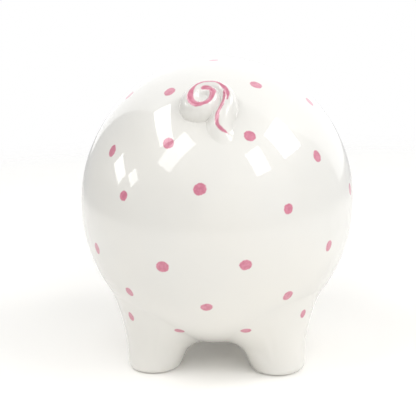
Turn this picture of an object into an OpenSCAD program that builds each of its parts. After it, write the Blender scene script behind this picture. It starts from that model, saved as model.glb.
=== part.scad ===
// Pig-shaped ceramic coin bank: a hollow slip-cast body with luted-on snout,
// ears, tail and legs, a coin slot in the back and a rubber stopper in the belly.
// The bank stands on z = 0 and faces +Y.

/* [Body] */
// Width of the round body
body_w = 168; // [150:1:180]
// Length of the round body, without the snout
body_l = 200; // [185:1:215]
// Height of the round body, without the legs
body_h = 175; // [165:1:185]
// Gap between the belly and the table
belly_gap = 9.5; // [9:0.5:14]
// Thickness of the fired clay wall
wall = 4.5; // [3.5:0.5:6]

/* [Coin slot] */
// Length of the slot, along the back
slot_l = 38; // [32:1:44]
// Width of the slot
slot_w = 5; // [4.5:0.5:6]
// Middle of the slot, forward of the top of the back
slot_ahead = 27; // [24:1:34]

/* [Stopper] */
// Radius of the hole in the belly
hole_r = 16; // [14:0.5:18]
// Gap all round the plug in its hole
plug_gap = 0.05; // [0.02:0.01:0.1]
// Width of the stopper's flange outside the hole
flange_lip = 3.2; // [2.5:0.1:3.5]
// Thickness of the flange
flange_t = 2.4; // [2:0.2:2.6]
// Length of the plug above the flange
plug_l = 6.5; // [6:0.5:7]

/* [Legs] */
// Radius of a leg
leg_r = 16.5; // [14:0.5:17]
// Distance of a leg's axis from the middle plane
leg_x = 37.5; // [36:0.5:42]
// Distance of a leg's axis in front of or behind the middle of the body
leg_y = 35; // [32:1:38]
// Rounding of the edge of a foot
foot_round = 5; // [3:0.5:6]

/* [Snout] */
// Width of the snout
snout_w = 50; // [44:1:56]
// Height of the snout
snout_h = 40; // [34:1:44]
// How far the snout stands out in front of the body
snout_out = 16; // [12:1:20]
// Height of the snout's middle above the middle of the body
snout_up = 6; // [0:1:12]

/* [Ears] */
// Length of an ear from root to tip
ear_l = 32; // [28:1:36]
// Width of an ear at its root
ear_w = 33; // [26:1:36]
// Thickness of an ear
ear_t = 8; // [6:0.5:9]

/* [Tail] */
// Radius of the curl, to the middle of the roll of clay
curl_r = 11; // [10:0.5:12]
// Radius of the roll of clay
roll_r = 3.4; // [3:0.2:4]
// How far the curl stands out from the rump
curl_out = 8; // [6:0.5:9]

/* [Hidden] */
$fn = 64;

// half axes of the body's outer ellipsoid
ax = body_w / 2;
ay = body_l / 2;
az = body_h / 2;
zc = belly_gap + az;                 // height of the body's middle
yc = -snout_out / 2;                 // the whole bank is centred on y = 0
snout_tip = ay + snout_out;          // front face of the snout, from the body's middle

// belly seat for the stopper
recess_r = hole_r + flange_lip + 0.8;
seat_z = belly_gap + flange_t + 0.4; // flat face the flange bears on
pad_top = seat_z + 4.4;
pad_r = recess_r + 4;
flange_r = hole_r + flange_lip;

// place on the rump of the middle of the tail's curl, as an angle up the meridian
tail_t = 51.5;
tail_tilt = 90 - atan(tan(tail_t) * ay / az);

clay = [0.93, 0.92, 0.89];
rubber = [0.82, 0.80, 0.76];

// the body's outer surface, shrunk by g all round
module egg(g = 0) {
  translate([0, yc, zc])
    scale([(ax - g) / ax, (ay - g) / ax, (az - g) / ax])
      sphere(r = ax);
}

// slot with round ends, long in Y, standing up through the back
module slot_cut() {
  run = (slot_l - slot_w) / 2;
  translate([0, yc + slot_ahead, zc + az / 2]) {
    for (s = [-1, 1])
      translate([0, s * run, 0]) cylinder(d = slot_w, h = az);
    translate([-slot_w / 2, -run, 0]) cube([slot_w, 2 * run, az]);
  }
}

module body_shell() color(clay) difference() {
  union() {
    difference() { egg(); egg(wall); }
    // flat pad inside the belly, round the hole
    translate([0, yc, belly_gap + 4]) cylinder(r = pad_r, h = pad_top - belly_gap - 4);
  }
  translate([0, yc, 0]) cylinder(r = recess_r, h = seat_z);
  translate([0, yc, 0]) cylinder(r = hole_r, h = belly_gap + 30);
  slot_cut();
}

// half outline of a foot: flat sole, rounded edge, straight side
module foot_outline(h) {
  union() {
    square([leg_r - foot_round, h]);
    translate([0, foot_round]) square([leg_r, h - foot_round]);
    translate([leg_r - foot_round, foot_round]) circle(r = foot_round, $fn = 32);
  }
}

// a leg: an upright post and a soft flare towards the middle of the belly
module leg(sx, sy) {
  color(clay) difference() {
    hull() {
      translate([sx * leg_x, yc + sy * leg_y, 0])
        rotate_extrude($fn = 40) intersection() {
          foot_outline(44);
          square([leg_r, 44]);
        }
      translate([sx * (leg_x - 12.5), yc + sy * (leg_y - 9), belly_gap + 8])
        cylinder(r = leg_r + 3, h = 2, $fn = 40);
    }
    egg();
  }
}

module snout() color(clay) difference() {
  translate([0, yc, zc + snout_up]) rotate([-90, 0, 0])
    scale([snout_w / snout_h, 1, 1]) rotate_extrude() {
      square([snout_h / 2 - 5, snout_tip]);
      square([snout_h / 2, snout_tip - 5]);
      translate([snout_h / 2 - 5, snout_tip - 5]) circle(r = 5, $fn = 32);
    }
  egg();
  for (s = [-1, 1])
    translate([s * snout_w * 0.18, yc + snout_tip - 3.5, zc + snout_up])
      rotate([-90, 0, 0]) cylinder(r = 3.6, h = 10);
}

// an ear: a pointed leaf of clay, flopped forwards and outwards, cupped underneath
module ear(s) {
  color(clay) difference() {
    translate([s * 38, yc + 65, zc + 46]) rotate([-55, 0, -s * 22]) rotate([0, 0, s * 24])
      difference() {
        hull() {
          scale([ear_w / 2 / 10, ear_t / 2 / 10, 0.9]) sphere(r = 10, $fn = 32);
          translate([0, 1, ear_l - 8]) scale([0.45, ear_t / 2.6 / 10, 0.45]) sphere(r = 10, $fn = 32);
        }
        // shallow cup in the inner face
        translate([0, ear_t / 2 + 5, 12]) scale([ear_w / 2 / 14, 0.62, 1.3]) sphere(r = 10, $fn = 48);
      }
    egg();
  }
}

module left_ear() ear(-1);
module right_ear() ear(1);

// part of the curl's roll: an arc of round clay, r from its own centre at x, y,
// thinner towards the inner end
module roll_arc(x, y, r, thin, from, to) {
  translate([x, y, 0]) rotate([0, 0, from])
    rotate_extrude(angle = to - from) translate([r, 0]) circle(r = roll_r * thin, $fn = 32);
}

module tail() {
  inner_r = 0.65 * curl_r;
  eye_r = 0.36 * curl_r;
  stem_r = 1.35 * roll_r;            // the stem is thicker than the roll
  lean = 18;                         // the stem follows the rump down
  color(clay) difference() {
    translate([0, yc - ay * cos(tail_t), zc + az * sin(tail_t)]) rotate([tail_tilt, 0, 0]) {
      // solid puck of clay that the curl is modelled on
      translate([0, 0, -5]) cylinder(r1 = curl_r + roll_r + 3, r2 = curl_r + 1.5, h = curl_out + 3.2);
      translate([0, 0, curl_out - 1]) {
        roll_arc(0, 0, curl_r, 1, -22, 180);
        roll_arc(inner_r - curl_r, 0, inner_r, 0.93, 174, 360);
        roll_arc(2 * inner_r - curl_r - eye_r, 0, eye_r, 0.86, -12, 150);
      }
      // stem: two arcs that sweep down and then out to the right; each arc of the
      // tail starts a little inside the thicker one before it
      translate([0, -4, 4.6]) rotate([lean, 0, 0]) {
        roll_arc(35, -16, 29.6, 1.35, 148, 181.5);
        roll_arc(19, -16, 13.6, 1.25, 174, 226);
        translate([35 + 29.6 * cos(148), -16 + 29.6 * sin(148), 0]) sphere(r = stem_r + 0.5);
        translate([19 + 13.6 * cos(226), -16 + 13.6 * sin(226), 0]) sphere(r = stem_r - 0.1);
      }
    }
    egg();
  }
}

module rear_left_leg() leg(-1, -1);
module rear_right_leg() leg(1, -1);
module front_left_leg() leg(-1, 1);
module front_right_leg() leg(1, 1);

// hollow rubber plug with a flange below and a small tab to pull
module belly_stopper() color(rubber) difference() {
  plug_r = hole_r - plug_gap;
  translate([0, yc, seat_z]) union() {
    translate([0, 0, -flange_t]) cylinder(r = flange_r, h = flange_t);
    cylinder(r = plug_r, h = plug_l - 1.5);
    translate([0, 0, plug_l - 1.5]) cylinder(r1 = plug_r, r2 = plug_r - 1.2, h = 1.5);
    translate([-7, -1.3, -flange_t - 2.4]) cube([14, 2.6, 3.4]);
  }
  translate([0, yc, seat_z + 1.6]) cylinder(r = hole_r - 4.5, h = plug_l);
}

body_shell();
snout();
left_ear();
right_ear();
tail();
rear_left_leg();
rear_right_leg();
front_left_leg();
front_right_leg();
belly_stopper();
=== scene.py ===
# Pig-shaped coin bank in white glaze with dabbed pink dots, on a pale studio floor.
# Lengths in the dictionaries are in millimetres, angles in degrees; only the studio's are in metres.
import math

import bpy
import numpy as np
from mathutils import Matrix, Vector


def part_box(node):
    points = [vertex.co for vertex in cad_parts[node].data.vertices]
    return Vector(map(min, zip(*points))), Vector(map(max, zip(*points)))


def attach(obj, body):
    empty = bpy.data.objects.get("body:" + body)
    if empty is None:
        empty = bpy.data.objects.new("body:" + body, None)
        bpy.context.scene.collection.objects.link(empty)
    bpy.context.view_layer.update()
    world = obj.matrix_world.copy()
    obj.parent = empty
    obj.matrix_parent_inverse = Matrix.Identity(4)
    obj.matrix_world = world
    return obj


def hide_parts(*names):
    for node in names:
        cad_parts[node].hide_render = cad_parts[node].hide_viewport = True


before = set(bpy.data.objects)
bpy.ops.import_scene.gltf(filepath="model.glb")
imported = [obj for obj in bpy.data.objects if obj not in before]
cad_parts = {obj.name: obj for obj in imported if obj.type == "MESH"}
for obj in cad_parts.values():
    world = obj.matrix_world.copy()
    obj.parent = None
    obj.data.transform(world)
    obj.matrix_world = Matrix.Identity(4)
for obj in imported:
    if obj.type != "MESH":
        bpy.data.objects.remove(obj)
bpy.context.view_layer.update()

mm = 0.001
tau = 2 * np.pi


def smooth(x, low=0.0, high=1.0):
    # cubic ease: 3t^2 - 2t^3 of x carried from low..high to 0..1
    t = np.clip((x - low) / (high - low), 0, 1)
    return t * t * (3 - 2 * t)


def unit(v):
    # each vector over its own length
    return v / np.linalg.norm(v, axis=-1, keepdims=True)


def softMax(a, b, k):
    # the larger of two heights, rounded over a width k where they cross
    return 0.5 * (a + b + np.sqrt((a - b) ** 2 + k * k))


def turn(points, axis, degrees):
    # points turned about x, y or z through the origin
    c, s = math.cos(math.radians(degrees)), math.sin(math.radians(degrees))
    i, j = {"x": (1, 2), "y": (2, 0), "z": (0, 1)}[axis]
    out = np.array(points, float)
    out[..., i] = c * points[..., i] - s * points[..., j]
    out[..., j] = s * points[..., i] + c * points[..., j]
    return out


def curveThrough(knots, steps):
    # Catmull-Rom curve: each span is the cubic whose end slopes are half the step between its neighbours
    k = np.array(knots, float)
    k = np.vstack([2 * k[0] - k[1], k, 2 * k[-1] - k[-2]])
    t = np.linspace(0, len(knots) - 1, steps)
    i = np.minimum(t.astype(int), len(knots) - 2)
    f = (t - i)[:, None]
    a, b, c, d = k[i], k[i + 1], k[i + 2], k[i + 3]
    square, cube = 2 * a - 5 * b + 4 * c - d, 3 * b - a - 3 * c + d
    return 0.5 * (2 * b + (c - a) * f + square * f ** 2 + cube * f ** 3)


def addPiece(name, rings, material, body, replaced=(), slot="glaze", poles=(True, True), around=False):
    # a closed surface from a stack of rings: quads between rings, a fan at each pole,
    # or, if around, the last ring joined back to the first
    rings = np.asarray(rings, float)
    rows, cols = rings.shape[:2]
    first = 1 if poles[0] else 0
    last = rows - (1 if poles[1] else 0)
    inner = rings[first:last]
    verts = inner.reshape(-1, 3)
    n = len(inner)
    j = np.arange(cols)
    k = (j + 1) % cols
    upper = np.arange(n if around else n - 1)[:, None] * cols
    lower = ((np.arange(n if around else n - 1)[:, None] + 1) % n) * cols
    quads = np.stack([upper + j, upper + k, lower + k, lower + j], -1).reshape(-1, 4)
    faces = quads.tolist()
    if poles[0]:
        verts = np.vstack([verts, rings[0].mean(0)])
        tip = len(verts) - 1
        faces += np.stack([np.full(cols, tip), k, j], -1).tolist()
    if poles[1]:
        verts = np.vstack([verts, rings[-1].mean(0)])
        tip = len(verts) - 1
        base = (n - 1) * cols
        faces += np.stack([np.full(cols, tip), base + j, base + k], -1).tolist()
    tris = quads[:, [0, 1, 2, 0, 2, 3]].reshape(-1, 3)
    corner = verts[tris]
    volume = (corner[:, 0] * np.cross(corner[:, 1], corner[:, 2])).sum() / 6
    if volume < 0:  # turned inside out: every face is written the other way round
        faces = [f[::-1] for f in faces]
    mesh = bpy.data.meshes.new(name)
    mesh.from_pydata((verts * mm).tolist(), [], faces)
    mesh.polygons.foreach_set("use_smooth", np.ones(len(mesh.polygons), bool))
    for field, values in paintOn(verts).items():
        mesh.attributes.new(field, "FLOAT", "POINT").data.foreach_set("value", values.astype(np.float32))
    mesh.update()
    if slot == "glaze":
        # where a piece runs out onto the egg it takes the egg's own normals, so no seam shows
        normals = np.empty(len(verts) * 3, np.float32)
        mesh.vertex_normals.foreach_get("vector", normals)
        normals = normals.reshape(-1, 3).astype(float)
        eggWay = eggNormal(verts)
        q = (verts - middle) / half
        # distance to the egg, nearly
        gap = np.abs((q * q).sum(1) - 1) / (2 * np.linalg.norm(q / half, axis=1))
        share = (1 - smooth(gap, 0.01, 0.06)) * smooth((normals * eggWay).sum(1), 0.965, 0.995)
        blended = unit(normals + (eggWay - normals) * share[:, None])
        mesh.normals_split_custom_set_from_vertices(blended.tolist())
    piece = bpy.data.objects.new(name, mesh)
    bpy.context.scene.collection.objects.link(piece)
    mesh.materials.append(material)
    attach(piece, body)
    if replaced:
        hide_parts(*replaced)
    return piece


class Value:
    # a node socket that takes part in arithmetic: each operation adds a Math node
    def __init__(self, bench, socket):
        self.bench, self.socket = bench, socket

    def math(self, operation, *others):
        return self.bench.node("ShaderNodeMath", {"operation": operation}, dict(enumerate((self,) + others)))

    def __add__(self, other):
        return self.math("ADD", other)

    def __sub__(self, other):
        return self.math("SUBTRACT", other)

    def __rsub__(self, other):
        return self.bench.node("ShaderNodeMath", {"operation": "SUBTRACT"}, {0: other, 1: self})

    def __mul__(self, other):
        return self.math("MULTIPLY", other)

    __radd__ = __add__
    __rmul__ = __mul__


class Bench:
    # the node tree of a material or of the air, and the one way that nodes are put into it
    def __init__(self, owner):
        owner.use_nodes = True
        self.owner, self.tree = owner, owner.node_tree
        self.tree.nodes.clear()

    def node(self, kind, settings=None, inputs=None, output=0):
        made = self.tree.nodes.new(kind)
        for key, value in (settings or {}).items():
            setattr(made, key, value)
        for key, value in (inputs or {}).items():
            socket = made.inputs[key]
            if isinstance(value, Value):
                self.tree.links.new(value.socket, socket)
            else:
                socket.default_value = value
        return Value(self, made.outputs[output]) if made.outputs else made

    def mix(self, factor, first, second):
        return self.node("ShaderNodeMix", {"data_type": "RGBA"}, {0: factor, 6: first, 7: second}, 2)

    def step(self, value, low, high):
        # 0 below low, 1 above high, smooth between
        inputs = {0: value, 1: low, 2: high, 3: 0.0, 4: 1.0}
        return self.node("ShaderNodeMapRange", {"interpolation_type": "SMOOTHSTEP"}, inputs)

    def noise(self, vector, scale, detail=2.0, roughness=0.5):
        inputs = {"Vector": vector, "Scale": scale, "Detail": detail, "Roughness": roughness}
        return self.node("ShaderNodeTexNoise", {}, inputs)

    def attribute(self, name):
        return self.node("ShaderNodeAttribute", {"attribute_name": name}, {}, 2)

    def finish(self, shader):
        self.node("ShaderNodeOutputMaterial", {}, {"Surface": shader})
        return self.owner


print("body")
body = {
    "height": 175,       # of the egg alone; its width and length come from the body shell's box in model.glb
    "wall": 4.5,
    "slotLength": 38, "slotWidth": 5, "slotAhead": 27, "slotLip": 1.2, "slotInnerLip": 0.8,
    "holeRadius": 16, "recessRadius": 20, "padThick": 4.4, "padRadius": 24,
    "columns": 320, "rowsAbove": 84, "rowsBelow": 78, "rowsInside": 34,
}
low, high = (np.array(c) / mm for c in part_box("body_shell"))
halfX, halfY, halfZ = (high[0] - low[0]) / 2, (high[1] - low[1]) / 2, body["height"] / 2
half = np.array([halfX, halfY, halfZ])
middle = np.array([0, (high[1] + low[1]) / 2, high[2] - halfZ])
stopper = {
    "flange": 19.2, "flangeThick": 2.4, "plug": 15.95, "plugLong": 6.5,
    "tabLong": 14, "tabThick": 2.6, "tabDeep": 2.4, "tabSunk": 1, "columns": 160,
}
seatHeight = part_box("belly_stopper")[1][2] / mm - stopper["plugLong"]


def onEgg(direction, inset=0.0):
    # the unit sphere's point stretched by the egg's three half axes
    return middle + unit(direction) * (half - inset)


def eggNormal(p):
    # slope of (x/a)^2 + (y/b)^2 + (z/c)^2, made one long
    return unit((p - middle) / half ** 2)


def eggHeight(x, y, up=True, inset=0.0):
    # z of the egg above or below x, y
    h = half - inset
    root = np.sqrt(np.clip(1 - ((x - middle[0]) / h[0]) ** 2 - ((y - middle[1]) / h[1]) ** 2, 0, 1))
    return middle[2] + (h[2] if up else -h[2]) * root


def meetEgg(start, along, inset=0.0, far=False):
    # where the line start + t * along enters the egg: the smaller root of a quadratic in t
    h = half - inset
    s, d = (start - middle) / h, along / h
    a, b, c = (d * d).sum(-1), (s * d).sum(-1), (s * s).sum(-1) - 1
    root = np.sqrt(np.clip(b * b - a * c, 0, None))
    t = (-b + (root if far else -root)) / a
    return start + t[..., None] * along


def direction(longitude, latitude):
    # longitude 0 is the rump and 90 the right flank, latitude 90 the top of the back
    lon, lat = np.radians(longitude), np.radians(latitude)
    return np.stack([np.cos(lat) * np.sin(lon), -np.cos(lat) * np.cos(lon), np.sin(lat)], -1)


# dots dabbed on by hand: longitude, latitude, radius, stretch, direction of the stretch
dots = {
    "rump": [
        (5, 83, 3.2, 1.0, 0), (38, 58, 3.6, 1.1, 20), (-25, 55.4, 3.5, 1.1, 60), (-66, 51, 3.4, 1.0, 0),
        (75, 45, 3.4, 1.1, 0), (22, 35, 3.3, 1.05, 0), (-14, 33, 3.3, 1.15, 50), (-44, 28, 3.35, 1.15, 70),
        (53, 24, 3.5, 1.05, 120), (76, 7, 3.6, 1.0, 0), (-76, 11, 3.4, 1.0, 0), (0.6, 17, 3.45, 1.08, 150),
        (-31, 13, 2.9, 1.0, 0), (33.6, 8, 3.0, 1.05, 0), (55, -10, 3.25, 1.1, 90), (-50, -10, 3.4, 1.05, 90),
        (16.6, -10.2, 3.3, 1.15, 10), (-14.4, -10.8, 3.5, 1.18, 165), (-35, -25.3, 3.2, 1.1, 130),
        (37, -27, 3.4, 1.15, 40), (1.2, -28, 3.15, 1.2, 170), (52, -39.9, 3.1, 1.2, 50),
        (-44.6, -40.2, 3.2, 1.2, 130), (20.6, -45.4, 2.85, 1.3, 0),
        (-17, -46, 2.9, 1.3, 170), (-84, -14, 3.5, 1.05, 0), (84, -24, 3.4, 1.0, 0), (-72, -32, 3.4, 1.1, 30),
    ],
    "face": [
        (104, 34, 3.5, 1.1, 10), (-101, 30, 3.4, 1.0, 0), (108, 4, 3.6, 1.1, 60), (-106, -4, 3.5, 1.1, 30),
        (128, 20, 3.3, 1.0, 0), (-130, 18, 3.5, 1.1, 0), (113, -26, 3.4, 1.1, 0), (-110, -30, 3.5, 1.1, 100),
        (135, -14, 3.5, 1.05, 0), (-137, -16, 3.4, 1.1, 40), (158, -34, 3.3, 1.0, 0),
        (-160, -36, 3.4, 1.1, 0),
        (116, 60, 3.4, 1.1, 0), (-118, 56, 3.4, 1.1, 70), (92, 68, 3.4, 1.0, 0), (-84, 72, 3.4, 1.05, 0),
        (150, 67, 3.3, 1.1, 0), (-146, 65, 3.3, 1.0, 0), (177, 44, 3.3, 1.05, 0), (134, -46, 3.2, 1.1, 0),
        (-134, -48, 3.2, 1.1, 0), (180, -50, 3.2, 1.1, 0), (98, -50, 3.2, 1.0, 0), (-94, -52, 3.2, 1.1, 0),
    ],
}

# the line painted along the tail's roll: right, up the rump from the curl's middle, half width
tailLine = {
    "curl": [(13.8, -11.3, 0.5), (13.9, -7.6, 1), (13, -4.9, 1.1), (10.9, -2.2, 1.05), (8.6, 0, 0.8),
             (5.9, 1.1, 0.6), (3, 1.2, 0.5), (0.1, 0.5, 0.5), (-2.2, -0.8, 0.6), (-4.2, -3, 0.7),
             (-5.6, -6.6, 1.25), (-6, -10.8, 1.6), (-4.5, -14.7, 1.95), (-2, -16.2, 2.1), (1.3, -15.7, 1.8),
             (4, -13.6, 1.6), (5.4, -9.8, 1.45), (5.9, -6.6, 1.7), (4.8, -4.2, 1.8), (2.3, -3.5, 1.7),
             (0.4, -3.5, 1.15), (-0.5, -3.7, 0.25)],
    "stem": [(12, -5.1, 0.65), (12, -9.3, 1.05), (11.3, -13.1, 1.1), (10.1, -16.5, 1.15), (9.1, -19.1, 1.15),
             (8.7, -22, 1.1), (8.9, -24.3, 1.05), (9.8, -26.1, 1), (11.4, -27.2, 0.9), (13.2, -27.6, 0.65),
             (14.9, -28.1, 0.2)],
}

face = {
    "eyeLongitude": 157, "eyeLatitude": 20, "eyeRadius": 4.6,
    "cheekLongitude": 146, "cheekLatitude": -1, "cheekRadius": 9,
}


tail = {
    "meridian": 54.1,    # angle up the egg's meridian to the plane's origin
    "shift": 0,          # to the right
    "height": 9.8, "fill": 6.0, "fillRadius": 9, "fillCentre": (0.5, -8), "fillet": 0.9,
    "columns": 320, "rows": 150, "halfWidth": 26, "halfHeight": 28, "centre": (3, -12), "paintReach": 48,
    # the roll of clay from the middle of the curl outward and down the stem:
    # right, up, share of the height, reach
    "roll": [(-0.5, -4.6, 0.8, 4.6), (2.3, -3.9, 0.9, 4.9), (5, -4.9, 0.95, 5), (5.8, -8.4, 0.97, 5),
             (4.6, -12.6, 0.98, 5.2), (1.4, -15.2, 1, 5.6), (-2.4, -15.6, 1, 5.8), (-5.2, -13, 1, 6.4),
             (-6.2, -8.4, 1, 6.8), (-4.6, -3.6, 1, 6.6), (-1, -0.4, 1, 6.2), (3.6, 0.8, 1, 6),
             (8.4, -0.2, 1, 6), (12.2, -3.6, 1, 5.8), (13.4, -8.6, 0.96, 5.8), (12.6, -13.4, 0.87, 6.2),
             (10.9, -17.6, 0.74, 6.8), (9.8, -21.6, 0.56, 7.2), (10.4, -25.4, 0.34, 6.8),
             (12.4, -28.6, 0.12, 5.6)],
}
tailAngle = math.radians(tail["meridian"])
tailSpot = middle + np.array([tail["shift"], -halfY * math.cos(tailAngle), halfZ * math.sin(tailAngle)])
tailOut = eggNormal(tailSpot)
tailRight = np.array([1.0, 0, 0])
tailUp = np.cross(tailOut, tailRight)


def tailPlane(p):
    # how far right and how far up the rump a point lies from the tail's origin
    return np.stack([(p - tailSpot) @ tailRight, (p - tailSpot) @ tailUp], -1)


def strokeEdge(flat, knots):
    # distance to a line on the tail's plane, less the line's half width there
    line = curveThrough(knots, 140)
    gap = np.linalg.norm(flat[:, None, :] - line[None, :, :2], axis=-1) - line[:, 2]
    return gap.min(1)


def paintOn(p):
    # signed distance in millimetres from a point to the nearest painted edge, negative inside the paint
    dabs = np.array([dab for group in dots.values() for dab in group])
    centres = onEgg(direction(dabs[:, 0], dabs[:, 1]))
    edge = np.full(len(p), 9.0)
    for (_, _, radius, stretch, angle), c in zip(dabs, centres):
        out = eggNormal(c)
        side = unit(np.cross(out, [0.0, 0, 1]))
        up = np.cross(side, out)
        d = p - c
        a, b = d @ side, d @ up
        ca, sa = math.cos(math.radians(angle)), math.sin(math.radians(angle))
        long, wide = (a * ca + b * sa) / stretch ** 0.5, (b * ca - a * sa) * stretch ** 0.5
        edge = np.minimum(edge, np.sqrt(long ** 2 + wide ** 2 + 0.2 * (d @ out) ** 2) - radius)
    rel = p - middle
    rearUp = (rel[:, 1] < 0) & (rel[:, 2] > 20) & (np.linalg.norm(p - tailSpot, axis=1) < tail["paintReach"])
    if rearUp.any():
        flat = tailPlane(p[rearUp])
        near = np.full(len(flat), 9.0)
        for knots in tailLine.values():
            near = np.minimum(near, strokeEdge(flat, knots))
        edge[rearUp] = np.minimum(edge[rearUp], near)
    eye = np.full(len(p), 9.0)
    cheek = np.full(len(p), 20.0)
    for s in (-1, 1):
        spot = onEgg(direction(s * face["eyeLongitude"], face["eyeLatitude"]))
        eye = np.minimum(eye, np.linalg.norm(p - spot, axis=1) - face["eyeRadius"])
        spot = onEgg(direction(s * face["cheekLongitude"], face["cheekLatitude"]))
        cheek = np.minimum(cheek, np.linalg.norm(p - spot, axis=1) - face["cheekRadius"])
    return {"pinkEdge": edge, "eyeEdge": eye, "cheekEdge": cheek}


print("finishes")
glaze = {
    "white": (0.71, 0.70, 0.667, 1), "thin": (0.735, 0.718, 0.672, 1),
    "pink": (0.62, 0.215, 0.3, 1), "pinkDeep": (0.53, 0.145, 0.225, 1),
    "blush": (0.84, 0.50, 0.52, 1), "black": (0.02, 0.017, 0.016, 1),
    # how many noise cells go into a metre
    "cloud": 14.0, "wave": 30.0, "ripple": 110.0, "wobble": 260.0, "wash": 420.0, "speck": 900.0,
    "blushShare": 0.6, "clayRoughness": 0.42, "glazeRoughness": 0.02, "glassIndex": 1.5,
}
rubber = {
    "dark": (0.60, 0.58, 0.53, 1), "light": (0.70, 0.68, 0.63, 1), "mottle": 160.0, "grain": 2400.0,
    "roughness": 0.5, "rougher": 0.2,
}


def makeGlaze():
    # white clay body under a clear, very slightly uneven glaze, with brushed underglaze colours
    b = Bench(bpy.data.materials.new("white_glaze"))
    at = b.node("ShaderNodeTexCoord", {}, {}, 3)
    wobble = b.noise(at, glaze["wobble"], 2.0) * 1.2 - 0.6
    pink = 1 - b.step(b.attribute("pinkEdge") + wobble * 0.9, -0.35, 0.35)
    wash = b.noise(at, glaze["wash"], 3.0, 0.6)
    pinkTone = b.mix(b.step(wash, 0.3, 0.72), glaze["pinkDeep"], glaze["pink"])
    cloud = b.step(b.noise(at, glaze["cloud"], 3.0), 0.3, 0.75)
    colour = b.mix(cloud, glaze["white"], glaze["thin"])
    blush = (1 - b.step(b.attribute("cheekEdge") + wobble, -face["cheekRadius"], 1.0)) * glaze["blushShare"]
    colour = b.mix(blush, colour, glaze["blush"])
    colour = b.mix(pink, colour, pinkTone)
    eye = 1 - b.step(b.attribute("eyeEdge") + wobble * 0.4, -0.25, 0.25)
    colour = b.mix(eye, colour, glaze["black"])
    waves = b.noise(at, glaze["wave"], 2.0) * 0.8 + b.noise(at, glaze["ripple"], 2.0) * 0.16
    surface = waves + b.noise(at, glaze["speck"], 3.0) * 0.012
    bump = b.node("ShaderNodeBump", {}, {"Strength": 0.12, "Distance": 0.002, "Height": surface})
    shader = b.node("ShaderNodeBsdfPrincipled", {}, {
        "Base Color": colour, "Roughness": glaze["clayRoughness"], "IOR": glaze["glassIndex"], "Normal": bump,
        "Coat Weight": 1.0, "Coat Roughness": glaze["glazeRoughness"], "Coat IOR": glaze["glassIndex"],
    })
    return b.finish(shader)


def makeRubber():
    # pale moulded rubber: faint mottling and a fine matt skin
    b = Bench(bpy.data.materials.new("pale_rubber"))
    at = b.node("ShaderNodeTexCoord", {}, {}, 3)
    mottle = b.noise(at, rubber["mottle"], 4.0, 0.6)
    colour = b.mix(b.step(mottle, 0.3, 0.7), rubber["dark"], rubber["light"])
    roughness = b.step(mottle, 0.0, 1.0) * rubber["rougher"] + rubber["roughness"]
    grain = b.noise(at, rubber["grain"], 2.0)
    bump = b.node("ShaderNodeBump", {}, {"Strength": 0.25, "Distance": 0.0002, "Height": grain})
    shader = b.node("ShaderNodeBsdfPrincipled", {}, {
        "Base Color": colour, "Roughness": roughness, "Normal": bump})
    return b.finish(shader)


whiteGlaze = makeGlaze()
paleRubber = makeRubber()


columns = body["columns"]
around = np.linspace(0, tau, columns, endpoint=False)


def slotRing(offset):
    # outline of the slot pushed out by offset: two straight sides and two half circles,
    # walked at an even pace from the middle of its right side
    r = body["slotWidth"] / 2 + offset
    run = (body["slotLength"] - body["slotWidth"]) / 2
    total = 4 * run + tau * r
    s = around / tau * total
    x, y = np.zeros(columns), np.zeros(columns)
    part = s <= run
    x[part], y[part] = r, s[part]
    part = (s > run) & (s <= run + math.pi * r)
    angle = (s[part] - run) / r
    x[part], y[part] = r * np.cos(angle), run + r * np.sin(angle)
    part = (s > run + math.pi * r) & (s <= 3 * run + math.pi * r)
    x[part], y[part] = -r, run - (s[part] - run - math.pi * r)
    part = (s > 3 * run + math.pi * r) & (s <= 3 * run + tau * r)
    angle = math.pi + (s[part] - 3 * run - math.pi * r) / r
    x[part], y[part] = r * np.cos(angle), -run + r * np.sin(angle)
    part = s > 3 * run + tau * r
    x[part], y[part] = r, -run + (s[part] - 3 * run - tau * r)
    return x, y + middle[1] + body["slotAhead"]


def circleRing(radius, z=None):
    # a level ring under the middle of the belly, at height z or lying on the egg
    x, y = radius * np.cos(around), middle[1] + radius * np.sin(around)
    return np.stack([x, y, eggHeight(x, y, up=False) if z is None else np.full(columns, float(z))], -1)


def sphereSteps(start, end, count):
    # great-circle steps between two rings of unit directions
    angle = np.arccos(np.clip((start * end).sum(-1), -1, 1))[:, None]
    t = np.linspace(0, 1, count)[:, None, None]
    return (np.sin((1 - t) * angle) * start + np.sin(t * angle) * end) / np.sin(angle)


def sphereDirection(p, inset=0.0):
    return unit((p - middle) / (half - inset))


lip, innerLip = body["slotLip"], body["slotInnerLip"]
equator = np.stack([np.cos(around), np.sin(around), np.zeros(columns)], -1)
x, y = slotRing(lip)
slotEdge = np.stack([x, y, eggHeight(x, y)], -1)
holeEdge = circleRing(body["recessRadius"] + 0.9)

# outside from the slot's lip down to the recess
skin = [onEgg(d) for d in sphereSteps(sphereDirection(slotEdge), equator, body["rowsAbove"])]
skin += [onEgg(d) for d in sphereSteps(equator, sphereDirection(holeEdge), body["rowsBelow"])[1:]]

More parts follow.
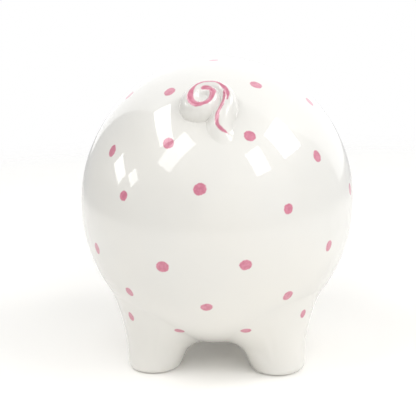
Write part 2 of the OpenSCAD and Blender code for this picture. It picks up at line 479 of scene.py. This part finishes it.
# the recess for the stopper, the bore and the pad inside, each edge softened
seat, pad = seatHeight, seatHeight + body["padThick"]
recess, bore = body["recessRadius"], body["holeRadius"]
for radius, rise in [(recess + 0.35, 0.14), (recess + 0.08, 0.42), (recess, 0.82)]:
    ring = circleRing(radius)
    ring[:, 2] = np.minimum(holeEdge[:, 2] + rise, seat - 0.2)
    skin.append(ring)
for radius, z in [(recess, seat - 0.15), (recess - 0.2, seat), (recess - 1.2, seat), (bore + 1.6, seat),
                  (bore + 0.5, seat + 0.03), (bore + 0.15, seat + 0.16), (bore, seat + 0.5),
                  (bore, (seat + pad) / 2), (bore, pad - 0.6), (bore + 0.2, pad - 0.15), (bore + 0.7, pad),
                  (body["padRadius"] - 2.5, pad), (body["padRadius"] - 0.9, pad - 0.15)]:
    skin.append(circleRing(radius, z))
wall = body["wall"]
ring = circleRing(body["padRadius"] + 1.5)
ring[:, 2] = eggHeight(ring[:, 0], ring[:, 1], up=False, inset=wall)
x, y = slotRing(innerLip)
slotInside = np.stack([x, y, eggHeight(x, y, inset=wall)], -1)
rows = body["rowsInside"]
skin += [onEgg(d, wall) for d in sphereSteps(sphereDirection(ring, wall), equator, rows)]
skin += [onEgg(d, wall) for d in sphereSteps(equator, sphereDirection(slotInside, wall), rows)[1:]]

# the slot's walls: lips as quarter rounds, offset r(1 - sin) and drop r(1 - cos)
for t in np.radians([50, 90]):
    x, y = slotRing(innerLip * (1 - math.sin(t)))
    skin.append(np.stack([x, y, eggHeight(x, y, inset=wall) + innerLip * (1 - math.cos(t))], -1))
x, y = slotRing(0.0)
for share in (0.33, 0.66):
    inner, outer = eggHeight(x, y, inset=wall) + innerLip, eggHeight(x, y) - lip
    skin.append(np.stack([x, y, inner + (outer - inner) * share], -1))
for t in np.radians([90, 75, 60, 45, 30, 15]):
    x, y = slotRing(lip * (1 - math.sin(t)))
    skin.append(np.stack([x, y, eggHeight(x, y) - lip * (1 - math.cos(t))], -1))
addPiece("body_shell_glazed", skin, whiteGlaze, "bank", ["body_shell"], poles=(False, False), around=True)


def landOnEgg(wallTop, contact, outward, spread, count):
    # fillet from a wall to the egg: a fifth-degree Bezier, sum of C(5,i) t^i (1-t)^(5-i) P_i,
    # with three of its points up the wall and three along the egg, so that it leaves
    # one and joins the other with no jump in slope or curvature
    normal = eggNormal(contact)
    flow = unit(outward - (outward * normal).sum(-1, keepdims=True) * normal)

    def along(share, sink=0.0):
        p = onEgg((contact + flow * (spread * share)[:, None] - middle) / half)
        return p - eggNormal(p) * sink

    landing = along(1.0)
    over = eggNormal(landing)
    tangent = unit(flow - (flow * over).sum(-1, keepdims=True) * over)
    near, far = 0.24, 0.52  # places of the middle points, as shares of the run
    back = landing - along(1 - far)
    run = np.abs((back * tangent).sum(-1))
    bend = 2 * (back * over).sum(-1) / run ** 2  # the egg's curvature along the run
    step = (run * near / far)[:, None]
    knots = [wallTop + (contact - wallTop) * share for share in (0, near, far)]
    # 5/4 of bend * step^2 is how far the fourth point sinks for the curve to end with the egg's curvature
    drop = 1.25 * bend[:, None] * step ** 2
    knots += [landing - tangent * run[:, None] - over * drop, landing - tangent * step, landing]
    rows = []
    for t in np.linspace(0, 1, count + 1)[1:]:
        rows.append(sum(math.comb(5, i) * t ** i * (1 - t) ** (5 - i) * knot for i, knot in enumerate(knots)))
    for step, sink in ((0.9, 0.012), (1.8, 0.05), (2.1, 0.3), (2.3, 1.4)):
        rows.append(along(1 + step / spread, sink))
    return rows


def closeUnder(lastRing, spot, depth, count=5):
    # the hidden underside: rings that shrink to a spot, kept a steady depth under the egg
    rows = []
    for t in np.linspace(0, 1, count + 1)[1:]:
        p = lastRing + (spot - lastRing) * min(t, 0.999)
        p = onEgg((p - middle) / half)
        rows.append(p - eggNormal(p) * depth)
    return rows


print("legs")
leg = {
    "radius": 16.5, "round": 3.6, "x": 37.5, "y": 35, "lean": 24, "clearOfHole": 23.5,
    # the fillet's reach up the wall (and there on the inner side), and out along the belly to each side
    "filletUp": 30, "filletUpIn": 9, "filletIn": 9, "filletOut": 16, "filletBack": 30,
    "columns": 220, "rows": 34, "blur": 31,
}


def makeLeg(name, sx, sy):
    # upright round post: flat sole, quarter round, straight wall, fillet to the belly
    turnAround = np.linspace(0, tau, leg["columns"], endpoint=False)
    out = np.stack([np.cos(turnAround), np.sin(turnAround), np.zeros(leg["columns"])], -1)
    foot = middle * [1, 1, 0] + [sx * leg["x"], sy * leg["y"], 0]
    r, e = leg["radius"], leg["round"]
    rings = [foot + out * 0.0, foot + out * (r - e) * 0.6, foot + out * (r - e - 0.3)]
    # the inner side leans out of the foot towards the belly
    inward = smooth(-sx * out[:, 0], 0, 0.9)
    lean = np.radians(leg["lean"]) * inward
    for t in np.linspace(0, 1, 12):
        a = (math.pi / 2 - lean) * t
        rings.append(foot + out * (r - e + e * np.sin(a))[:, None] + np.outer(e * (1 - np.cos(a)), [0, 0, 1]))
    base = rings[-1]
    way = out * np.sin(lean)[:, None] + np.outer(np.cos(lean), [0, 0, 1])
    contact = meetEgg(base, way)
    height = np.linalg.norm(contact - base, axis=1)
    rise = leg["filletUp"] + (leg["filletUpIn"] - leg["filletUp"]) * inward
    wallTop = contact - way * np.minimum(rise, height - 0.4)[:, None]
    for share in np.linspace(0, 1, 8)[1:]:
        rings.append(base + (wallTop - base) * share)
    # room outward before the hole in the belly or the halfway planes to the other legs
    toHole = middle[:2] - foot[:2]
    ahead = out[:, :2] @ toHole
    miss = np.clip(leg["clearOfHole"] ** 2 - (toHole @ toHole - ahead ** 2), 0, None)
    room = np.where((ahead > 0) & (miss > 0), ahead - np.sqrt(miss), 90.0)
    room = np.minimum(room, (leg["x"] - 1.5) / np.clip(-sx * out[:, 0], 0.02, 1))
    room = np.minimum(room, (leg["y"] - 1.5) / np.clip(-sy * out[:, 1], 0.02, 1))
    outer = smooth(sx * out[:, 0], 0, 0.9)
    back = leg["filletBack"]
    wish = back + (leg["filletIn"] - back) * inward + (leg["filletOut"] - back) * outer
    spread = np.minimum(wish, room - np.linalg.norm((contact - foot)[:, :2], axis=1))
    blur = np.hanning(leg["blur"])
    spread = np.convolve(np.tile(spread, 3), blur / blur.sum(), "same")[leg["columns"]:2 * leg["columns"]]
    rings += landOnEgg(wallTop, contact, out, spread, leg["rows"])
    spot = meetEgg(foot[None, :], np.array([[0.0, 0, 1]]))[0]
    rings += closeUnder(rings[-1], spot, 1.4)
    addPiece(name + "_glazed", rings, whiteGlaze, "bank", [name])


for sx, side in ((-1, "left"), (1, "right")):
    makeLeg("rear_" + side + "_leg", sx, -1)
    makeLeg("front_" + side + "_leg", sx, 1)


print("tail")


def tailHeight(flat):
    # height of the tail over the egg: beads of clay along the roll, added as a twelfth-power
    # mean so that they merge, over a low button of clay
    roll = curveThrough(tail["roll"], 150)
    gap = ((flat[:, None, :] - roll[None, :, :2]) ** 2).sum(-1)
    bead = roll[:, 2] * np.clip(1 - gap / roll[:, 3] ** 2, 0, 1) ** 0.75
    ropes = ((bead ** 12).sum(1) / 14) ** (1 / 12) * tail["height"]
    r = np.linalg.norm(flat - tail["fillCentre"], axis=-1)
    button = tail["fill"] * np.clip(1 - (r / tail["fillRadius"]) ** 5, 0, 1)
    return softMax(softMax(ropes, button, 1.0) - 0.5, 0 * r, tail["fillet"]) - tail["fillet"] / 2 - 0.05


spin = np.linspace(0, tau, tail["columns"], endpoint=False)
reach = np.linspace(0, 1, tail["rows"])[:, None]
flatGrid = np.stack([tail["centre"][0] + tail["halfWidth"] * reach * np.cos(spin),
                     tail["centre"][1] + tail["halfHeight"] * reach * np.sin(spin)], -1)
start = tailSpot + tailOut * 30 + flatGrid[..., :1] * tailRight + flatGrid[..., 1:] * tailUp
base = meetEgg(start, np.broadcast_to(-tailOut, start.shape))
lift = tailHeight(flatGrid.reshape(-1, 2)).reshape(reach.shape[0], -1)
lift = lift - 0.4 * smooth(reach, 0.9, 1.0)
rings = list(base + eggNormal(base) * lift[..., None])
rings += closeUnder(rings[-1], base[0].mean(0), 1.6, 6)
addPiece("tail_glazed", rings, whiteGlaze, "bank", ["tail"])


print("snout and ears")
snout = {
    "width": 50, "height": 40, "up": 6, "round": 6, "dish": 1.6, "fillet": 8, "columns": 180,
    "nostrilFloor": 1.6, "nostrilRim": 4.7, "nostrilApart": 9, "nostrilDeep": 3.4, "nostrilTall": 1.25,
}


def makeSnout():
    # oval disc: dished face with two dimples, rounded rim, straight wall, fillet to the egg
    spin = np.linspace(0, tau, snout["columns"], endpoint=False)
    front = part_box("snout")[1][1] / mm
    centre = np.array([0, front, middle[2] + snout["up"]])
    a, b, e = snout["width"] / 2, snout["height"] / 2, snout["round"]
    oval = np.stack([np.cos(spin) * a, 0 * spin, np.sin(spin) * b], -1)
    flat = unit(np.stack([np.cos(spin) / a, 0 * spin, np.sin(spin) / b], -1))
    inner = oval - flat * e
    rings = []
    for share in np.linspace(0, 1, 40):
        p = centre + inner * share
        back = snout["dish"] * (1 - share ** 4) ** 2
        for s in (-1, 1):
            gap = np.hypot(p[:, 0] - s * snout["nostrilApart"], (p[:, 2] - centre[2]) / snout["nostrilTall"])
            back = back + snout["nostrilDeep"] * (1 - smooth(gap, snout["nostrilFloor"], snout["nostrilRim"]))
        rings.append(p - np.stack([0 * spin, back + 0 * spin, 0 * spin], -1))
    for t in np.linspace(0, math.pi / 2, 12)[1:]:
        rings.append(centre + inner + flat * e * math.sin(t) - [0, e * (1 - math.cos(t)), 0])
    along = np.tile([0.0, -1, 0], (snout["columns"], 1))
    contact = meetEgg(centre + oval + [0, 30, 0], along)
    wallTop = contact + [0, snout["fillet"] * 0.8, 0]
    wallTop[:, 1] = np.minimum(wallTop[:, 1], rings[-1][:, 1] - 0.4)
    rings += [rings[-1] + (wallTop - rings[-1]) * share for share in (0.33, 0.66, 1.0)]
    rings += landOnEgg(wallTop, contact, flat, np.full(snout["columns"], float(snout["fillet"])), 14)
    spot = meetEgg((centre + [0, 30, 0])[None, :], along[:1])[0]
    rings += closeUnder(rings[-1], spot, 1.4)
    addPiece("snout_glazed", rings, whiteGlaze, "bank", ["snout"])


makeSnout()

ear = {
    "x": 38, "y": 65, "z": 46, "tilt": -55, "splay": 22, "twist": 24,
    "root": 9, "length": 32, "width": 33, "thick": 8, "cup": 3.2, "hollow": 1.2, "columns": 120, "fillet": 6,
}


def makeEar(name, s):
    # a leaf: flat oval sections that narrow to the tip, bent back by cup times the square of
    # the share of the half width, and set on the egg with a fillet
    spin = np.linspace(0, tau, ear["columns"], endpoint=False)
    rings = []
    for t in np.linspace(math.pi / 2, 0.0, 26):
        up = ear["root"] + (ear["length"] - ear["root"] - 0.5) * math.sin(t)
        toTip = 1 - (up - ear["root"]) / (ear["length"] - ear["root"])
        wide = ear["width"] / 2 * (0.24 + 0.76 * toTip ** 0.8) * math.cos(t) ** 0.55 + 1e-4
        thick = ear["thick"] / 2 * (0.85 if t > 1.2 else 1) * math.cos(t) ** 0.5 + 1e-4
        x = wide * np.cos(spin)
        y = thick * np.sin(spin) * (1 - 0.25 * np.abs(np.cos(spin)))
        y = y + ear["cup"] * (x / (ear["width"] / 2)) ** 2
        y = y - ear["hollow"] * np.clip(np.sin(spin), 0, 1) * math.cos(t)
        rings.append(np.stack([x, y, np.full(len(spin), up)], -1))

    def place(p):
        p = turn(p, "z", s * ear["twist"])
        p = turn(p, "x", ear["tilt"])
        p = turn(p, "z", -s * ear["splay"])
        return p + middle + [s * ear["x"], ear["y"], ear["z"]]

    root = place(rings[-1])
    rings = [place(p) for p in rings]
    along = place(np.array([[0.0, 0, -1.0]])) - place(np.array([[0.0, 0, 0.0]]))
    contact = meetEgg(root, np.tile(along, (len(spin), 1)))
    climb = np.minimum(ear["fillet"], np.linalg.norm(contact - root, axis=1))
    wallTop = contact - along * climb[:, None] * 0.8
    rings += landOnEgg(wallTop, contact, root - root.mean(0), np.full(len(spin), float(ear["fillet"])), 12)
    rings += closeUnder(rings[-1], contact.mean(0), 1.4)
    addPiece(name + "_glazed", rings, whiteGlaze, "bank", [name])


makeEar("left_ear", -1)
makeEar("right_ear", 1)


print("stopper")


def makeStopper():
    # turned plug: softened flange with a moulded ring, and a plug hollowed from above
    columns = stopper["columns"]
    spin = np.linspace(0, tau, columns, endpoint=False)
    t, f, p, h = stopper["flangeThick"], stopper["flange"], stopper["plug"], stopper["plugLong"]
    # radius and height over the seat: moulded ring, flange, plug, hollow
    outline = [(0, -t), (8.2, -t), (8.6, -t - 0.05), (9.0, -t - 0.35), (9.8, -t - 0.35), (10.2, -t - 0.05)]
    outline += [(10.6, -t), (f - 1.1, -t), (f - 0.4, -t + 0.15), (f - 0.08, -t + 0.5), (f, -t + 1.0)]
    outline += [(f - 0.1, -0.35), (f - 0.5, -0.02), (p + 0.6, -0.02), (p + 0.1, 0.05), (p, 0.4)]
    outline += [(p, h - 1.7), (p - 0.5, h - 0.8)]
    outline += [(p - 1.2, h - 0.1), (p - 1.8, h), (p - 3.6, h), (p - 4.2, h - 0.4), (p - 4.4, h - 1.4)]
    outline += [(p - 4.5, 2.6), (p - 5.2, 1.7), (p - 6.5, 1.6), (0, 1.6)]
    x, y = np.cos(spin), np.sin(spin)
    rings = [np.stack([r * x, middle[1] + r * y, np.full(columns, seatHeight + z)], -1) for r, z in outline]
    addPiece("belly_stopper_plug", rings, paleRubber, "stopper", ["belly_stopper"], "stopper_rubber")
    # pull tab: a block whose corners are rounded by a high power of the angle's sine and cosine
    halfDeep = (stopper["tabDeep"] + stopper["tabSunk"]) / 2
    tabMiddle = seatHeight - t - stopper["tabDeep"] + halfDeep
    rings = []
    for a in np.linspace(-math.pi / 2, math.pi / 2, 22):
        w = np.sign(math.cos(a)) * abs(math.cos(a)) ** 0.35
        x = stopper["tabLong"] / 2 * w * np.sign(np.cos(spin)) * np.abs(np.cos(spin)) ** 0.5
        y = stopper["tabThick"] / 2 * w * np.sign(np.sin(spin)) * np.abs(np.sin(spin)) ** 0.5
        z = math.copysign(abs(math.sin(a)) ** 0.5, math.sin(a)) * halfDeep
        rings.append(np.stack([x, middle[1] + y, np.full(columns, tabMiddle + z)], -1))
    addPiece("belly_stopper_tab", rings, paleRubber, "stopper", ["belly_stopper"], "stopper_rubber")


makeStopper()


print("studio")
studio = {
    "floorRadius": 1.1, "floorDrop": 0.0002, "fadeFrom": 0.5, "backlit": 0.055, "lampsAway": 2.2,
    "room": 0.42, "brighterRight": 0.11, "brighterBeyond": 0.24,
}


def makeFloorPaper():
    # matt white paper with a trace of tooth, fading out into the white air before its rim
    b = Bench(bpy.data.materials.new("floor_paper"))
    at = b.node("ShaderNodeTexCoord", {}, {}, 3)
    away = b.node("ShaderNodeVectorMath", {"operation": "LENGTH"}, {0: at}, 1)
    tone = b.mix(b.noise(at, 6.0, 2.0), (0.925, 0.915, 0.89, 1), (0.945, 0.935, 0.91, 1))
    tooth = b.noise(at, 900.0, 3.0)
    bump = b.node("ShaderNodeBump", {}, {"Strength": 0.1, "Distance": 0.0002, "Height": tooth})
    return b.finish(b.node("ShaderNodeBsdfPrincipled", {}, {
        "Base Color": tone, "Roughness": 0.75, "Specular IOR Level": 0.2, "Normal": bump,
        "Emission Color": (1.0, 0.97, 0.92, 1), "Emission Strength": studio["backlit"],
        "Alpha": 1 - b.step(away, studio["fadeFrom"], studio["floorRadius"] - 0.1)}))


mesh = bpy.data.meshes.new("studio_floor")
rim = np.linspace(0, tau, 96, endpoint=False)
edge = np.stack([np.cos(rim), np.sin(rim), 0 * rim], -1) * studio["floorRadius"] - [0, 0, studio["floorDrop"]]
mesh.from_pydata(edge.tolist(), [], [list(range(len(rim)))])
mesh.materials.append(makeFloorPaper())
floor = bpy.data.objects.new("studio_floor", mesh)
bpy.context.scene.collection.objects.link(floor)

# the air: plain white to the eye, a softer grey room to the glaze, lighter to the right and beyond the snout
world = bpy.data.worlds.new("studio_air")
bpy.context.scene.world = world
air = Bench(world)
way = air.node("ShaderNodeTexCoord", {}, {}, 0)
sideways = air.node("ShaderNodeSeparateXYZ", {}, {0: way}, 0)
lengthways = air.node("ShaderNodeSeparateXYZ", {}, {0: way}, 1)
room = sideways * studio["brighterRight"] + air.step(lengthways, 0.0, 0.8) * studio["brighterBeyond"]
room = room + studio["room"]
felt = air.node("ShaderNodeBackground", {}, {"Color": (0.99, 0.995, 1.0, 1), "Strength": room})
seen = air.node("ShaderNodeBackground", {}, {"Color": (1.0, 1.0, 1.0, 1), "Strength": 1.0})
eyeRay = air.node("ShaderNodeLightPath")
either = air.node("ShaderNodeMixShader", {}, {0: eyeRay, 1: felt, 2: seen})
air.node("ShaderNodeOutputWorld", {}, {"Surface": either})

# soft boxes round the bank: azimuth from behind the tail towards +X, elevation, width and
# height in degrees as seen from the bank, roll, brightness
softBoxes = {
    "window_left_far": (-90, 57, 33, 11, -3, 4.6),
    "window_left_near": (-44, 51, 15, 29, -15, 4.0),
    "window_right_far": (98, 41, 21, 21, -9, 5.6),
    "window_right_near": (58, 40, 14, 19, 4, 5.0),
    "window_low_far": (-94, 19, 15, 9, -24, 4.8),
    "window_low_near": (-76, 21, 9, 8, -36, 4.8),
    "paper_behind": (173, 35, 91, 74, 0, 0.66),
    "paper_above": (5, 50, 56, 36, 0, 0.3),
    "paper_here": (38, 16, 84, 36, 0, 0.32),
    "fill_front": (17, 38, 56, 40, 0, 1.12),
}


def setDown(name, data, spot, back, roll):
    # a lamp or camera at a spot, its rear towards back, rolled about that line
    right = unit(np.cross([0, 0, 1.0], back))
    up = np.cross(back, right)
    c, s = math.cos(math.radians(roll)), math.sin(math.radians(roll))
    axes = np.stack([right * c + up * s, up * c - right * s, back, spot], -1)
    thing = bpy.data.objects.new(name, data)
    bpy.context.scene.collection.objects.link(thing)
    thing.matrix_world = Matrix(axes.tolist() + [[0, 0, 0, 1]])
    return thing


distance = studio["lampsAway"]
for name, (azimuth, elevation, wide, tall, roll, glow) in softBoxes.items():
    data = bpy.data.lights.new(name, "AREA")
    data.shape = "RECTANGLE"
    data.size, data.size_y = (2 * distance * math.tan(math.radians(v) / 2) for v in (wide, tall))
    data.energy = glow * math.pi * data.size * data.size_y
    back = direction(azimuth, elevation)
    lamp = setDown(name, data, middle * mm + back * distance, back, roll)
    lamp.visible_camera = False
    # a fill lights the clay but isn't mirrored in the glaze, and the paper behind is only mirrored
    lamp.visible_glossy = not name.startswith("fill")
    lamp.visible_diffuse = name != "paper_behind"

bpy.context.scene.view_settings.view_transform = "Standard"

shot = {
    "distance": 550, "elevation": 12, "azimuth": 6, "roll": -1.6, "aimRight": -6.4, "aimUp": -5.6,
    "lens": 75.7, "sensor": 36, "nearest": 0.01,
}
back = direction(shot["azimuth"], shot["elevation"])
right = unit(np.cross([0, 0, 1.0], back))
eyePoint = middle + back * shot["distance"]
target = middle + right * shot["aimRight"] + np.cross(back, right) * shot["aimUp"]
lens = bpy.data.cameras.new("studio_camera")
lens.lens, lens.sensor_width, lens.clip_start = shot["lens"], shot["sensor"], shot["nearest"]
rear = unit(eyePoint - target)
bpy.context.scene.camera = setDown("studio_camera", lens, eyePoint * mm, rear, shot["roll"])
